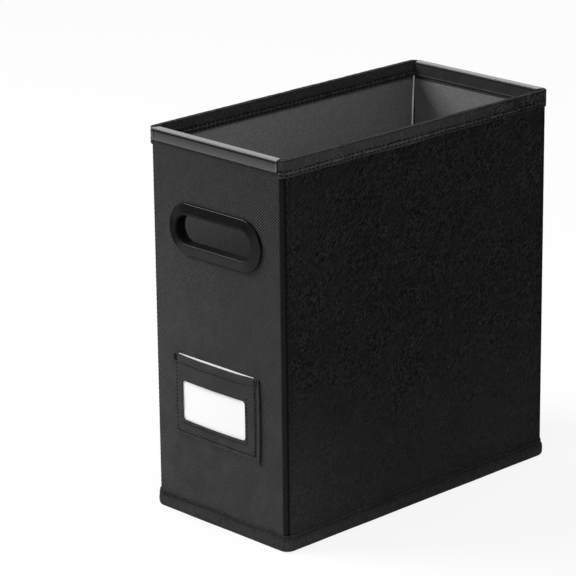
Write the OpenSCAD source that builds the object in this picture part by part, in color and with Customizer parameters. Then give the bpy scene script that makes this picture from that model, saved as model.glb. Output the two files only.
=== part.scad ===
// Open-topped file box of fabric over board, tall and narrow. It has a channel rail on each short
// end for hanging folders, an oblong finger hole in each end and a label pocket at the front.
// Millimetres, +Z up, the front towards -Y. The origin is at the centre of the underside.

/* [Box] */
// Width over the covers of the long sides
box_w = 160; // [130:1:220]
// Depth over the covers of the short ends
box_d = 320; // [300:1:400]
// Height to the top of the side hems
box_h = 338; // [300:1:400]
// Outer radius of the upright corners
corner_r = 5; // [4:0.5:7]

/* [Walls] */
// Thickness of the outer fabric
cover_t = 0.6; // [0.4:0.1:1.2]
// Thickness of the board inside each wall
board_t = 2.4; // [1.6:0.1:3.2]
// Thickness of the lining fabric
lining_t = 0.5; // [0.3:0.1:1]

/* [Hems] */
// Thickness of the binding that is folded over the top edges
hem_t = 0.6; // [0.4:0.1:1]
// Height of the binding on the long sides, outside and inside
side_hem_h = 14.5; // [8:0.5:25]
// Height of the binding that shows inside below the rail
hem_below_rail = 3; // [1:0.5:8]
// How far the end bindings stay hidden above the outer lip of the rail
hem_hidden = 0.5; // [0.3:0.1:2]

/* [Rails] */
// Thickness of the two flanges of the rail
rail_t = 1.45; // [1.2:0.05:2]
// Thickness of the top of the rail
rail_top_t = 1.6; // [1.2:0.1:2.5]
// Height of the outer flange, from the top
rail_outer_h = 10.3; // [8:0.1:16]
// Height of the inner flange, from the top
rail_inner_h = 12.5; // [8:0.1:18]
// Clearance between each flange and the bound edge
rail_fit = 0.1; // [0.05:0.05:0.3]
// Gap between each end of the rail and the side hem
rail_end_gap = 0.3; // [0.2:0.1:2]
// How much shorter the rail is at its inner edge, at each end
rail_end_slant = 2.5; // [0.5:0.5:5]
// Radius of the rounded top edges of the rail
rail_edge_r = 0.8; // [0.4:0.1:1]
// Radius of the lower corners of the flanges
rail_corner_r = 2.5; // [1:0.5:4]
// Height of the lip along the foot of the outer flange
rail_lip_h = 1.5; // [1:0.1:3]
// Depth of the sunk panel in the outer flange
rail_panel_depth = 0.35; // [0.1:0.05:0.5]
// Depth of the groove under the top strip
rail_groove_depth = 0.7; // [0.4:0.1:0.9]
// Height of the groove under the top strip
rail_groove_h = 0.8; // [0.5:0.1:1.5]
// Length of the plain pad left at each end of the outer flange
rail_pad = 2; // [1:0.5:5]

/* [Handles] */
// Width of the oblong handle frame
handle_w = 110; // [95:1:120]
// Height of the oblong handle frame
handle_h = 45; // [40:1:60]
// Width of the frame's flange, all round the finger hole
flange_w = 10; // [8:0.5:12]
// Distance from the top of the box down to the middle of the handle
handle_drop = 80; // [50:1:120]
// How far the flange stands off the wall at the finger hole
flange_crown = 4; // [3.4:0.1:6]
// How far the flange stands off the wall at its outer edge
flange_rim = 2.4; // [2:0.1:3]
// Shell thickness of the flanges
flange_t = 1.3; // [1:0.1:1.6]
// Radius of the edge where the flange turns into the finger hole
hole_edge_r = 1.5; // [0.8:0.1:2]
// Radius of the flange's outer edge
rim_edge_r = 0.9; // [0.4:0.1:1.2]
// Wall of the collar that lines the finger hole
collar_t = 1.8; // [1.4:0.1:2.5]
// Straight height of the inner ring's lip, between its rounded edge and the collar's end
ring_lip = 0.6; // [0.3:0.1:1]
// Clearance of the collar in the wall's cut-out and of the inner ring on the collar
collar_fit = 0.1; // [0.05:0.05:0.3]
// Height of the snap bead round the collar
bead_h = 0.4; // [0.2:0.05:0.6]

/* [Label pocket] */
// Width of the pocket
pocket_w = 105; // [98:1:130]
// Height of the pocket
pocket_h = 72; // [64:1:90]
// Height of the pocket's foot above the ground
pocket_foot = 72.5; // [40:0.5:110]
// Sideways offset of the pocket from the middle of the front
pocket_shift = -3; // [-6:0.5:6]
// Thickness of the pocket's fabric
pocket_t = 0.7; // [0.4:0.1:1.2]
// Width of the seam at the pocket's two sides and its foot
pocket_seam = 4.8; // [3:0.1:5]
// Width of the window
window_w = 76; // [60:1:80]
// Height of the window
window_h = 34.5; // [25:0.5:40]
// Height of the window's sill above the pocket's foot
window_sill = 16; // [12:0.5:22]
// Sideways offset of the window from the middle of the pocket
window_shift = -2.5; // [-4:0.5:4]
// Radius of the window's corners
window_r = 2; // [1:0.5:4]
// Thickness of the clear film behind the window
film_t = 0.25; // [0.15:0.05:0.4]
// How far the film reaches past the window on each side
film_margin = 4; // [2:0.5:6]
// Width of the label card
card_w = 91.5; // [88:0.5:95]
// Thickness of the label card
card_t = 0.45; // [0.3:0.05:0.8]
// How far the card stands above the pocket's mouth
card_peek = 1.2; // [0.5:0.1:4]
// Clearance of the card on all sides
card_fit = 0.1; // [0.05:0.05:0.3]

/* [Base] */
// Height of the band round the foot of the box
band_h = 15; // [10:0.5:25]
// Thickness of the band
band_t = 1.8; // [1.2:0.1:3]
// Corner radius of the band, seen from above
band_corner_r = 9; // [7:0.5:10]
// Radius of the band's lower edge
band_edge_r = 3; // [2:0.5:4]
// Width of the band's hem, turned under the box
band_under = 8; // [5:0.5:20]
// Thickness of the hem that is turned under
under_t = 0.6; // [0.4:0.1:1.2]
// Thickness of the cloth that closes the bottom
base_cloth_t = 0.6; // [0.4:0.1:1.2]
// Thickness of the loose base board
base_board_t = 2.4; // [1.6:0.1:4]
// Thickness of the cloth round the loose base board
base_wrap_t = 0.4; // [0.3:0.1:0.8]
// Clearance of the base board past what it is lifted through
base_fit = 0.5; // [0.3:0.1:2]

/* [Hidden] */
$fn = 64;
arc_steps = 6;     // straight steps in each quarter turn of a profile
through = 1;       // how far a cutter runs past the face that it opens
far = 2000;        // size of the blocks that split the box into its sides

wall_t = cover_t + board_t + lining_t;
flat_w = box_w - 2 * corner_r;               // flat width of each end
flat_d = box_d - 2 * corner_r;               // flat length of each side
wall_z = under_t + base_cloth_t;             // where the walls stand
side_top = box_h - hem_t;                    // top of the side walls, under their hem
end_top = box_h - rail_top_t - hem_t;        // top of the end walls, under hem and rail
room_w = box_w - 2 * wall_t;                 // inside width between the linings
room_d = box_d - 2 * wall_t;                 // inside depth between the linings

rail_slot = wall_t + 2 * hem_t + 2 * rail_fit;
rail_w = rail_slot + 2 * rail_t;
rail_len = flat_w - 2 * rail_end_gap;
rail_face = box_d / 2 + hem_t + rail_fit + rail_t;   // outer face of the rail

hole_r = handle_h / 2 - flange_w;            // half the height of the finger hole
spine = handle_w - handle_h;                 // distance between the centres of the round ends
collar_r = hole_r + collar_t;
handle_z = box_h - handle_drop;
ring_top = flange_crown + wall_t;            // depth of the inner ring's crown behind the front
collar_end = ring_top - hole_edge_r - ring_lip - collar_fit;
bead_mid = (wall_t + collar_end) / 2;
bead_half = (collar_end - wall_t) / 5;       // half the height of the bead's flat crest

pocket_gap = film_t + card_t + 2 * card_fit; // room behind the pocket's fabric
pocket_out = pocket_gap + pocket_t;
card_foot = pocket_seam + 4 * card_fit;
card_h = pocket_h - card_foot + card_peek;
window_x = pocket_shift + window_shift;
window_z = pocket_foot + window_sill;

insert_w = room_w - 2 * hem_t - 2 * base_fit;
insert_d = box_d - 2 * max(ring_top, rail_w + box_d / 2 - rail_face) - 2 * base_fit;
insert_t = base_board_t + 2 * base_wrap_t;

cloth = [0.20, 0.20, 0.205];
side_cloth = [0.13, 0.13, 0.135];
lining_cloth = [0.36, 0.36, 0.37];
binding = [0.10, 0.10, 0.105];
greyboard = [0.55, 0.52, 0.47];
moulding = [0.06, 0.06, 0.065];
rail_plastic = [0.30, 0.30, 0.31];

// ---- shared shapes ----

// points of an arc about c, from angle a0 to angle a1
function arc(c, r, a0, a1) =
    [for (i = [0:arc_steps]) let (a = a0 + (a1 - a0) * i / arc_steps) c + r * [cos(a), sin(a)]];

// block on the ground, centred, with round upright corners
module round_block(w, d, h, r) {
    translate([-w / 2 + r, -d / 2, 0]) cube([w - 2 * r, d, h]);
    translate([-w / 2, -d / 2 + r, 0]) cube([w, d - 2 * r, h]);
    for (x = [-1, 1], y = [-1, 1])
        translate([x * (w / 2 - r), y * (d / 2 - r), 0]) cylinder(h = h, r = r);
}

// the same with its lower edge rounded too
module soft_block(w, d, h, r, edge) {
    module side_profile(half) {
        square([half - edge, h]);
        translate([0, edge]) square([half, h - edge]);
        translate([half - edge, edge]) circle(r = edge);
    }
    module bar(len, half) {
        for (turn = [0, 180])
            rotate([0, 0, turn]) translate([-len / 2, 0, 0])
                rotate([90, 0, 90]) linear_extrude(height = len) side_profile(half);
    }
    bar(w - 2 * r, d / 2);
    rotate([0, 0, 90]) bar(d - 2 * r, w / 2);
    for (x = [-1, 1], y = [-1, 1])
        translate([x * (w / 2 - r), y * (d / 2 - r), 0]) rotate_extrude() side_profile(r);
}

// upright panel in the XZ plane, from its foot up, with its thickness towards -Y
module panel(w, h, t, r) {
    translate([0, 0, h / 2]) rotate([90, 0, 0]) linear_extrude(height = t) {
        square([w - 2 * r, h], center = true);
        square([w, h - 2 * r], center = true);
        for (x = [-1, 1], y = [-1, 1])
            translate([x * (w / 2 - r), y * (h / 2 - r)]) circle(r = r);
    }
}

// sweeps a profile of [distance from the spine, height] round the oblong of the handle
module oblong_sweep(points) {
    for (turn = [0, 180]) rotate([0, 0, turn]) {
        translate([-spine / 2, 0, 0]) rotate([90, 0, 90])
            linear_extrude(height = spine) polygon(points);
        translate([spine / 2, 0, 0]) rotate([0, 0, -90]) rotate_extrude(angle = 180) polygon(points);
    }
}

// places a child made flat on the ground against the front, at the height of the handle
module at_handle() {
    translate([0, -box_d / 2, handle_z]) rotate([90, 0, 0]) children();
}

// turns what is made for the front or the right round to the other end or side
module opposite() {
    rotate([0, 0, 180]) children();
}

module handle_cut() {
    cut_r = collar_r + collar_fit;
    at_handle() translate([0, 0, -wall_t - through]) linear_extrude(height = wall_t + 2 * through) {
        square([spine, 2 * cut_r], center = true);
        for (x = [-1, 1]) translate([x * spine / 2, 0]) circle(r = cut_r);
    }
}

// ---- walls ----

module end_board() {
    color(greyboard) difference() {
        translate([-flat_w / 2, -box_d / 2 + cover_t, wall_z])
            cube([flat_w, board_t, end_top - wall_z]);
        handle_cut();
    }
}

module side_board() {
    color(greyboard) translate([box_w / 2 - cover_t - board_t, -flat_d / 2, wall_z])
        cube([board_t, flat_d, side_top - wall_z]);
}

// the end covers go round the corners and meet the side covers just behind them
module end_cover() {
    color(cloth) difference() {
        intersection() {
            translate([0, 0, wall_z]) round_block(box_w, box_d, side_top - wall_z, corner_r);
            translate([-far / 2, -far - flat_d / 2, 0]) cube(far);
        }
        round_block(box_w - 2 * cover_t, box_d - 2 * cover_t, box_h, corner_r - cover_t);
        translate([-flat_w / 2, -box_d / 2 - through, end_top]) cube([flat_w, wall_t, box_h]);
        handle_cut();
    }
}

module side_cover() {
    color(side_cloth) translate([box_w / 2 - cover_t, -flat_d / 2, wall_z])
        cube([cover_t, flat_d, side_top - wall_z]);
}

module end_lining() {
    color(lining_cloth) difference() {
        translate([-room_w / 2, -room_d / 2 - lining_t, wall_z])
            cube([room_w, lining_t, end_top - wall_z]);
        handle_cut();
    }
}

module side_lining() {
    color(lining_cloth) translate([room_w / 2, -room_d / 2 - lining_t, wall_z])
        cube([lining_t, room_d + 2 * lining_t, side_top - wall_z]);
}

// the folded seam that fills each corner between two boards, behind the cover
module corner_seam(x, y) {
    fill_r = corner_r - cover_t;
    inner = fill_r - board_t;
    color(binding) translate([x * flat_w / 2, y * flat_d / 2, wall_z])
        scale([x, y, 1]) difference() {
            intersection() {
                cylinder(h = side_top - wall_z, r = fill_r);
                cube([far, far, far]);
            }
            translate([-through, -through, -through]) cube([inner + through, inner + through, far]);
        }
}

// ---- bindings along the top ----

// over the front wall, mostly hidden by the rail
module end_hem() {
    outer_leg = rail_outer_h - rail_top_t - hem_hidden;
    inner_leg = rail_inner_h - rail_top_t + hem_below_rail;
    outside = box_d / 2 + hem_t;
    inside = room_d / 2 - hem_t;
    top = end_top + hem_t;
    color(binding) {
        translate([-flat_w / 2, -outside, top - outer_leg]) cube([flat_w, hem_t, outer_leg]);
        translate([-flat_w / 2, -outside, end_top]) cube([flat_w, outside - inside, hem_t]);
        translate([-room_w / 2 + hem_t, -room_d / 2, top - inner_leg])
            cube([room_w - 2 * hem_t, hem_t, inner_leg - hem_t]);
    }
}

// over the right wall and round its two corners, up to the rails
module side_hem() {
    color(binding) {
        intersection() {
            difference() {
                round_block(box_w + 2 * hem_t, box_d + 2 * hem_t, box_h, corner_r + hem_t);
                round_block(box_w, box_d, side_top, corner_r);
                translate([-room_w / 2 + hem_t, -room_d / 2, 0])
                    cube([room_w - 2 * hem_t, room_d, far]);
            }
            translate([flat_w / 2, -far / 2, box_h - side_hem_h]) cube(far);
        }
        translate([room_w / 2 - hem_t, -room_d / 2, box_h - side_hem_h])
            cube([hem_t, room_d, side_hem_h - hem_t]);
    }
}

// ---- rails ----

// channel that is pushed down over the bound edge, open below
module rail_channel() {
    tip = rail_t / 3;
    polygon(concat(
        arc([rail_edge_r, -rail_edge_r], rail_edge_r, 180, 90),
        arc([rail_w - rail_edge_r, -rail_edge_r], rail_edge_r, 90, 0),
        arc([rail_w - tip, tip - rail_inner_h], tip, 0, -90),
        [[rail_w - rail_t + tip, -rail_inner_h], [rail_w - rail_t, 2 * tip - rail_inner_h]],
        [[rail_w - rail_t, -rail_top_t], [rail_t, -rail_top_t]],
        [[rail_t, 2 * tip - rail_outer_h], [rail_t - tip, -rail_outer_h]],
        arc([tip, tip - rail_outer_h], tip, 270, 180)
    ));
}

// the space that the rail keeps inside: slanting ends and round lower corners
module rail_outline() {
    inner_len = rail_len - 2 * rail_end_slant;
    intersection() {
        translate([0, 0, -far / 2]) linear_extrude(height = far)
            polygon([
                [-rail_len / 2, 0], [rail_len / 2, 0],
                [inner_len / 2, rail_w], [-inner_len / 2, rail_w]
            ]);
        union() {
            translate([0, rail_w / 2, -rail_outer_h])
                panel(rail_len, 2 * rail_outer_h, rail_w / 2, rail_corner_r);
            translate([0, rail_w, -rail_inner_h])
                panel(inner_len, 2 * rail_inner_h, rail_w / 2, rail_corner_r);
            translate([-rail_len / 2, 0, -rail_top_t]) cube([rail_len, rail_w, rail_top_t]);
        }
    }
}

module end_rail() {
    sunk_len = rail_len - 2 * rail_pad;
    groove_foot = -rail_top_t - rail_groove_h;
    panel_foot = rail_lip_h - rail_outer_h;
    color(rail_plastic) translate([0, -rail_face, box_h]) difference() {
        intersection() {
            translate([-rail_len / 2, 0, 0]) rotate([90, 0, 90])
                linear_extrude(height = rail_len) rail_channel();
            rail_outline();
        }
        translate([-sunk_len / 2, -through, groove_foot])
            cube([sunk_len, through + rail_groove_depth, rail_groove_h]);
        translate([-sunk_len / 2, -through, panel_foot])
            cube([sunk_len, through + rail_panel_depth, groove_foot - panel_foot]);
    }
}

// ---- handles: a bezel outside, whose collar snaps into a ring inside ----

// crowned flange, from the finger hole out to the rim, standing off a wall at height 0
function flange_face() = concat(
    arc([hole_r + hole_edge_r, flange_crown - hole_edge_r], hole_edge_r, 180, 90),
    arc([handle_h / 2 - rim_edge_r, flange_rim - rim_edge_r], rim_edge_r, 90, 0)
);

// its hollow underside, from the rim back to the collar
function flange_back() = [
    [handle_h / 2, 0],
    [handle_h / 2 - flange_t, 0],
    [handle_h / 2 - flange_t, flange_rim - flange_t],
    [collar_r + flange_t, flange_crown - 1.5 * flange_t],
    [collar_r + flange_t, 0]
];

module handle_bezel() {
    color(moulding) at_handle() oblong_sweep(concat(
        [[hole_r, -collar_end]],
        flange_face(),
        flange_back(),
        [[collar_r, 0]],
        [[collar_r, -bead_mid + bead_half + bead_h]],
        [[collar_r + bead_h, -bead_mid + bead_half]],
        [[collar_r + bead_h, -bead_mid - bead_half]],
        [[collar_r, -bead_mid - bead_half - bead_h]],
        [[collar_r, -collar_end]]
    ));
}

// made the same way up as the bezel, then turned over to lie against the lining
module handle_ring() {
    socket_r = collar_r + collar_fit;
    mid = bead_mid - wall_t;
    socket_end = collar_end + collar_fit - wall_t;
    color(moulding) at_handle() translate([0, 0, -wall_t]) mirror([0, 0, 1]) oblong_sweep(concat(
        flange_face(),
        flange_back(),
        [[socket_r, 0]],
        [[socket_r, mid - bead_half - bead_h]],
        [[socket_r + bead_h, mid - bead_half]],
        [[socket_r + bead_h, mid + bead_half]],
        [[socket_r, mid + bead_half + bead_h]],
        [[socket_r, socket_end]],
        [[hole_r, socket_end]]
    ));
}

// ---- label pocket, open at its top ----

module label_pocket() {
    color(cloth) difference() {
        translate([pocket_shift, -box_d / 2, pocket_foot])
            panel(pocket_w, pocket_h, pocket_out, pocket_seam / 2);
        translate([pocket_shift, -box_d / 2 + through, pocket_foot + pocket_seam])
            panel(pocket_w - 2 * pocket_seam, pocket_h + far, through + pocket_gap, window_r);
        translate([window_x, -box_d / 2 + through, window_z])
            panel(window_w, window_h, through + pocket_out + through, window_r);
    }
}

module label_film() {
    color([0.8, 0.85, 0.9, 0.3])
        translate([window_x, -box_d / 2 - pocket_gap + film_t, window_z - film_margin])
            panel(window_w + 2 * film_margin, window_h + 2 * film_margin, film_t, window_r);
}

module label_card() {
    color("white") translate([pocket_shift, -box_d / 2 - card_fit, pocket_foot + card_foot])
        panel(card_w, card_h, card_t, window_r / 2);
}

// ---- base ----

module base_cloth() {
    color(side_cloth) translate([0, 0, under_t]) round_block(box_w, box_d, base_cloth_t, corner_r);
}

module base_band() {
    color(binding) difference() {
        soft_block(box_w + 2 * band_t, box_d + 2 * band_t, band_h, band_corner_r, band_edge_r);
        translate([0, 0, under_t]) round_block(box_w, box_d, band_h, corner_r);
        translate([0, 0, -through])
            round_block(box_w - 2 * band_under, box_d - 2 * band_under, band_h, corner_r);
    }
}

module insert_block(wrap) {
    lift = base_wrap_t - wrap;
    translate([-insert_w / 2 + lift, -insert_d / 2 + lift, wall_z + lift])
        cube([insert_w - 2 * lift, insert_d - 2 * lift, insert_t - 2 * lift]);
}

module base_board() {
    color(greyboard) insert_block(0);
}

module base_board_cover() {
    color(side_cloth) difference() {
        insert_block(base_wrap_t);
        insert_block(0);
    }
}

// ---- assembly ----

end_board();  // front_board
opposite() end_board();  // back_board
opposite() side_board();  // left_board
side_board();  // right_board
end_cover();  // front_cover
opposite() end_cover();  // back_cover
opposite() side_cover();  // left_cover
side_cover();  // right_cover
end_lining();  // front_lining
opposite() end_lining();  // back_lining
opposite() side_lining();  // left_lining
side_lining();  // right_lining
corner_seam(-1, -1);  // front_left_corner_seam
corner_seam(1, -1);  // front_right_corner_seam
corner_seam(-1, 1);  // back_left_corner_seam
corner_seam(1, 1);  // back_right_corner_seam
end_hem();  // front_hem
opposite() end_hem();  // back_hem
opposite() side_hem();  // left_hem
side_hem();  // right_hem
end_rail();  // front_rail
opposite() end_rail();  // back_rail
handle_bezel();  // front_handle_bezel
handle_ring();  // front_handle_ring
opposite() handle_bezel();  // back_handle_bezel
opposite() handle_ring();  // back_handle_ring
label_pocket();
label_film();
label_card();
base_cloth();
base_band();
base_board();
base_board_cover();
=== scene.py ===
"""Looks of the fabric file box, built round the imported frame.

Lengths are in millimetres until a mesh is made, and the front of the box faces -Y.
Each fabric piece is a closed shell with its own puckers, creases and stitches.
"""
import math

import bmesh
import bpy
import numpy as np
from mathutils import Matrix, Vector


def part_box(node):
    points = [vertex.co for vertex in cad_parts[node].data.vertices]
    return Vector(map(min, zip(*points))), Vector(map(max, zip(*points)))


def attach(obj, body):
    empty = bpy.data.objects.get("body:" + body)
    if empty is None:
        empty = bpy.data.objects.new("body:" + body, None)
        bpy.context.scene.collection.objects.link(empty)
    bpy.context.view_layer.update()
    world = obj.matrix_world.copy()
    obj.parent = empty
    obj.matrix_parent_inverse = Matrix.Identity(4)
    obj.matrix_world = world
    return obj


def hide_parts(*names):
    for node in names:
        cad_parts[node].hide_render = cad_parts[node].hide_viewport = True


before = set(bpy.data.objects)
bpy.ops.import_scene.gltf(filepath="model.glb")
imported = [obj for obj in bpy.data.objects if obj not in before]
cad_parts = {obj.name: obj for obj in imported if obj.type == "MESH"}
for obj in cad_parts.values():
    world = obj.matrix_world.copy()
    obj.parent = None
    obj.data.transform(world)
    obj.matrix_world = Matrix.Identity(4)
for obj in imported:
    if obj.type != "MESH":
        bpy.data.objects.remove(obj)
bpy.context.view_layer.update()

MM = 0.001


# ---- sizes read from the frame ----

def low(node):
    """Lowest corner of a CAD node, in millimetres."""
    return np.array(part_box(node)[0]) / MM


def high(node):
    """Highest corner of a CAD node, in millimetres."""
    return np.array(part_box(node)[1]) / MM


HALF_W = high("front_cover")[0]                 # outside of the long sides
HALF_D = -low("front_cover")[1]                 # outside of the short ends
CORNER_R = HALF_D + high("front_cover")[1]      # outer radius of the upright corners
FLAT_W = HALF_W - CORNER_R
FLAT_D = HALF_D - CORNER_R
FOOT = low("front_cover")[2]                    # where the walls stand
SIDE_TOP = high("right_cover")[2]
END_TOP = high("front_board")[2]
TOP = high("right_hem")[2]
COVER_T = HALF_W - high("right_board")[0]
LINING_T = high("right_lining")[0] - low("right_lining")[0]
ROOM_W = low("right_lining")[0]                 # inner faces of the linings
ROOM_D = -high("front_lining")[1]
HEM_T = high("right_hem")[0] - HALF_W
HEM_FOOT = low("right_hem")[2]
BAND_T = high("base_band")[0] - HALF_W
BAND_TOP = high("base_band")[2]
UNDER_T = low("base_cloth")[2]                  # thickness of the band's hem under the box
BEZEL_LOW = low("front_handle_bezel")
BEZEL_HIGH = high("front_handle_bezel")
HANDLE_Z = (BEZEL_LOW[2] + BEZEL_HIGH[2]) / 2
HANDLE_R = (BEZEL_HIGH[2] - BEZEL_LOW[2]) / 2
HANDLE_SPINE = BEZEL_HIGH[0] - HANDLE_R         # half the distance between the round ends
POCKET_LOW = low("label_pocket")
POCKET_HIGH = high("label_pocket")

CUT_R = 14.4                                    # half the height of the wall's cut-out
STITCH_LEN = 2.3
STITCH_PITCH = 5.0
HEM_ROWS = (9.3, 12.7)                          # stitch rows, down from the top of the side hems
SEAM_W = 4.8                                    # width of the pocket's seams
POCKET_GAP = 0.9                                # room behind the pocket for film and card
WINDOW_LOW = np.array([-43.5, 88.5])
WINDOW_HIGH = np.array([32.5, 123.0])
MOUTH_SAG = 0.3                                 # how far the pocket's mouth dips in its middle
BAND_ROW = BAND_TOP - 2.6                       # height of the stitch row along the band
BAND_R = 9                                      # outer radius of the band's upright corners
UNDER_W = 8                                     # width of the band's hem under the box


# ---- shapes by formula ----

def smooth(x, a, b):
    """0 below a, 1 above b, and a smooth step between them."""
    t = np.clip((x - a) / (b - a), 0, 1)
    return t * t * (3 - 2 * t)


def ridge(x, width):
    """Bell of height 1 and about that width round x = 0."""
    return np.exp(-(x / width) ** 2)


def pucker(along):
    """1 where the thread of a row dives into the fabric, and 0 halfway along each stitch."""
    return 0.5 + 0.5 * np.cos(2 * math.pi * along / STITCH_PITCH)


def waves(u, v, size, seed, count=14):
    """Smooth uneven field of about -1 to 1, with swells of about that size."""
    rng = np.random.default_rng(seed)
    turn = rng.uniform(0, math.pi, count)
    length = size * rng.uniform(0.7, 1.6, count)
    phase = rng.uniform(0, 2 * math.pi, count)
    total = 0
    for t, l, p in zip(turn, length, phase):
        total = total + np.sin(2 * math.pi * (u * math.cos(t) + v * math.sin(t)) / l + p)
    usual_height = math.sqrt(count) / 0.7
    return total / usual_height


def crinkle(u, v, size, seed):
    """Field of soft ridges and flat hollows, as on crumpled fabric."""
    bend = size * 0.25
    u, v = u + bend * waves(u, v, size * 2, seed + 1), v + bend * waves(u, v, size * 2, seed + 2)
    return 1 - np.clip(np.abs(waves(u, v, size, seed)) * 2.2, 0, 1) ** 0.8


def oblong(x, z):
    """Distance of a point on an end wall from the spine of the handle."""
    return np.hypot(np.maximum(np.abs(x) - HANDLE_SPINE, 0), z - HANDLE_Z)


def points_at(*coordinates):
    """Points from their coordinates, any of which may be the same number for all."""
    return np.stack(np.broadcast_arrays(*coordinates), -1)


def at_height(flat, z):
    """Points from (x, y) pairs and a height."""
    return points_at(flat[..., 0], flat[..., 1], z)


def distance_along(path):
    """How far each point of a path lies from its start, along the path."""
    return np.concatenate([[0], np.cumsum(np.linalg.norm(np.diff(path, axis=0), axis=1))])


def full_turn(count):
    """That many equal steps round a circle."""
    return np.linspace(0, 2 * math.pi, count + 1)[:-1]


def rounded_rect(half_w, half_d, r, straight_w, straight_d, corner):
    """Points and outward directions round a rectangle with round corners, from its right side.

    Rectangles of any size made with the same counts match point for point.
    """
    w, d = half_w - r, half_d - r
    centres = np.array([(w, d), (-w, d), (-w, -d), (w, -d)])
    points, normals = [], []
    for side, centre in enumerate(centres):
        straight = (straight_w, straight_d)[side % 2]
        turn = np.concatenate([np.arange(corner) / corner, np.ones(straight)])
        step = np.concatenate([np.zeros(corner), np.arange(straight) / straight])
        angle = math.radians(90) * (side + turn)
        out = points_at(np.cos(angle), np.sin(angle))
        normals.append(out)
        points.append(centre + r * out + step[:, None] * (centres[(side + 1) % 4] - centre))
    return np.concatenate(points), np.concatenate(normals)


# ---- meshes ----

def make_piece(name, points, faces, material, replaces=(), turned=False, body="box", sharp=38):
    """A piece of the object from points in millimetres, with its faces turned outwards.

    A turned piece was drawn for the front or the right, and goes to the other end or side.
    """
    if turned:
        points = half_turn(points)
    mesh = bpy.data.meshes.new(name)
    mesh.from_pydata((points * MM).tolist(), [], [list(map(int, f)) for f in faces])
    mesh.validate()
    piece = bpy.data.objects.new(name, mesh)
    bpy.context.scene.collection.objects.link(piece)
    turn_outwards(mesh)
    mesh.polygons.foreach_set("use_smooth", [True] * len(mesh.polygons))
    mesh.set_sharp_from_angle(angle=math.radians(sharp))
    mesh.materials.append(material)
    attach(piece, body)
    if replaces:
        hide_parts(*replaces)
    return piece


def turn_outwards(mesh):
    """Makes every face of a closed mesh look away from its inside."""
    work = bmesh.new()
    work.from_mesh(mesh)
    bmesh.ops.recalc_face_normals(work, faces=work.faces)
    work.to_mesh(mesh)
    work.free()


def half_turn(points):
    """Turns points made for the front or the right round to the other end or side."""
    return points * np.array([-1, -1, 1])


def grid_faces(nu, nv, round_u=False, round_v=False):
    """Quads of a grid whose point (i, j) has the number i * nv + j."""
    faces = []
    for i in range(nu if round_u else nu - 1):
        for j in range(nv if round_v else nv - 1):
            i2, j2 = (i + 1) % nu, (j + 1) % nv
            faces.append((i * nv + j, i2 * nv + j, i2 * nv + j2, i * nv + j2))
    return faces


def shell(outer, inner, faces):
    """Closes a sheet: its two faces, and a rim along every free edge. Unused points go."""
    points = np.concatenate([outer.reshape(-1, 3), inner.reshape(-1, 3)])
    count = len(points) // 2
    uses = {}
    for f in faces:
        for a, b in zip(f, f[1:] + f[:1]):
            key = (min(a, b), max(a, b))
            uses[key] = None if key in uses else (a, b)
    rim = [(b, a, a + count, b + count) for a, b in filter(None, uses.values())]
    skins = faces + [tuple(p + count for p in reversed(f)) for f in faces]
    kept = np.unique([p for f in skins for p in f])
    place = np.full(len(points), -1)
    place[kept] = np.arange(len(kept))
    return points[kept], [tuple(place[list(f)]) for f in skins + rim]


def tube_of_sections(rings, round_path=False):
    """Skin over closed sections, (stations, points, 3), with end caps unless it closes."""
    stations, count = rings.shape[:2]
    faces = grid_faces(stations, count, round_path, True)
    if not round_path:
        faces.append(tuple(range(count)))
        faces.append(tuple((stations - 1) * count + i for i in reversed(range(count))))
    return rings.reshape(-1, 3), faces


# ---- node trees ----

class Value:
    """A value in a node tree. Its sums, products and ranges are further nodes."""

    def __init__(self, nodes, socket):
        self.nodes = nodes
        self.socket = socket

    def __add__(self, other):
        return self.nodes.maths("ADD", self, other)

    def __sub__(self, other):
        return self.nodes.maths("SUBTRACT", self, other)

    def __mul__(self, other):
        return self.nodes.maths("MULTIPLY", self, other)

    def __abs__(self):
        return self.nodes.maths("ABSOLUTE", self)

    __radd__ = __add__
    __rmul__ = __mul__

    def range(self, at_start, at_end, start=0.0, end=1.0, kind="LINEAR"):
        """One level up to start, another from end on, and a slope between them."""
        inputs = enumerate((self, start, end, at_start, at_end))
        node = self.nodes.add("ShaderNodeMapRange", inputs, interpolation_type=kind)
        return Value(self.nodes, node.outputs[0])

    def ease(self, at_start, at_end, start=0.0, end=1.0):
        """The same with a smooth step."""
        return self.range(at_start, at_end, start, end, "SMOOTHSTEP")

    def over(self, at_start, at_end, start, end):
        """The same along a coordinate, between two places in millimetres."""
        return self.range(at_start, at_end, start * MM, end * MM)

    def between(self, start, end, blur=0.15):
        """1 where a coordinate lies between two places in millimetres, and 0 elsewhere."""
        return self.over(0.0, 1.0, start - blur, start + blur) * self.over(1.0, 0.0, end - blur, end + blur)

    def swap(self, other):
        """1 where this is 0, and the other value where this is 1."""
        return self * other + self.range(1.0, 0.0)


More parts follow.
